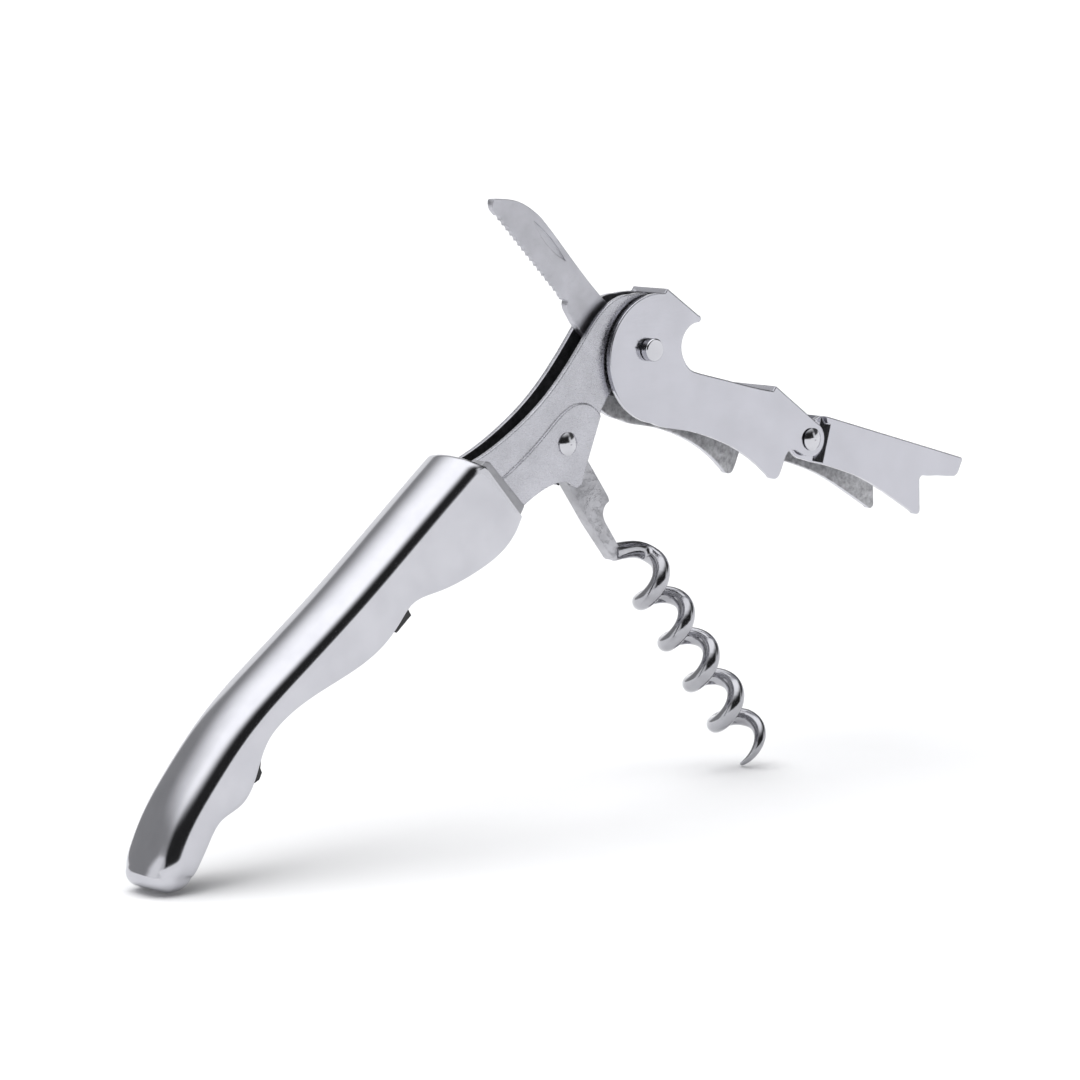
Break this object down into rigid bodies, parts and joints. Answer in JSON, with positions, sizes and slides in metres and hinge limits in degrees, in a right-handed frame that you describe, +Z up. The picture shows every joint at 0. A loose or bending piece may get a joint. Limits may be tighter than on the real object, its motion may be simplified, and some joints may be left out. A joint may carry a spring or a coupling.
{
  "type": "lever corkscrew",
  "caption": "Folding waiter's corkscrew standing half open: curved sheet-steel handle, riveted neck, hinged lever in stages with a cap lifter, wire worm on a shank, small serrated foil knife.",
  "frame": {"origin": "bottom centre of the bounding box in the stored pose: the floor point midway between the handle's nose and the lever's far end, on the middle plane between the two sides", "axes": "+X from the handle's nose towards the lever's far end, +Z up, +Y to the far side, square to the sheet plates; every pivot's axis is along Y"},
  "size_m": [0.1567, 0.013, 0.0892],
  "materials": {
    "polished_steel": "mirror-polished stainless steel sheet with soft rolled edges",
    "neck_steel": "polished stainless steel plate",
    "lever_steel": "polished stainless steel sheet, faint long grain",
    "bolster": "dull satin steel packing plate",
    "black_plastic": "black moulded lining",
    "rivet": "polished domed head",
    "washer_steel": "plain spring-steel washer, oiled",
    "shank_steel": "satin stamped steel, slightly pitted",
    "worm_wire": "bright drawn wire",
    "blade_steel": "satin ground blade with serrated edge"
  },
  "bodies": {
    "handle": {"handle_shell": "polished_steel", "handle_insert": "black_plastic", "liner_near": "neck_steel", "liner_far": "neck_steel", "bolster_near": "bolster", "bolster_far": "bolster", "liner_spacer": "neck_steel", "head_rivet": "rivet", "worm_rivet": "rivet", "lever_washer_near": "washer_steel", "lever_washer_far": "washer_steel", "knife_washer_near": "washer_steel", "knife_washer_far": "washer_steel", "worm_washer_near": "washer_steel", "worm_washer_far": "washer_steel"},
    "lever": {"lever_stage_1": "lever_steel", "stage_rivet": "rivet", "stage_sleeve": "rivet", "stage_washer_near": "washer_steel", "stage_washer_far": "washer_steel"},
    "lever_tip": {"lever_stage_2": "lever_steel"},
    "worm_arm": {"worm_shank": "shank_steel", "worm": "worm_wire"},
    "knife_blade": {"knife": "blade_steel"}
  },
  "joints": [
    {"name": "lever_hinge", "type": "hinge", "parent": "handle", "child": "lever", "pos_m": [0.01478, 0, 0.0655], "axis": [0, -1, 0], "range_deg": [-34, 36]},
    {"name": "stage_hinge", "type": "hinge", "parent": "lever", "child": "lever_tip", "pos_m": [0.04551, 0, 0.04916], "axis": [0, -1, 0], "range_deg": [-12, 60]},
    {"name": "worm_hinge", "type": "hinge", "parent": "handle", "child": "worm_arm", "pos_m": [-0.00052, 0, 0.0532], "axis": [0, -1, 0], "range_deg": [-90, 8]},
    {"name": "knife_hinge", "type": "hinge", "parent": "handle", "child": "knife_blade", "pos_m": [0.01478, 0, 0.0655], "axis": [0, -1, 0], "range_deg": [-14, 62]}
  ]
}
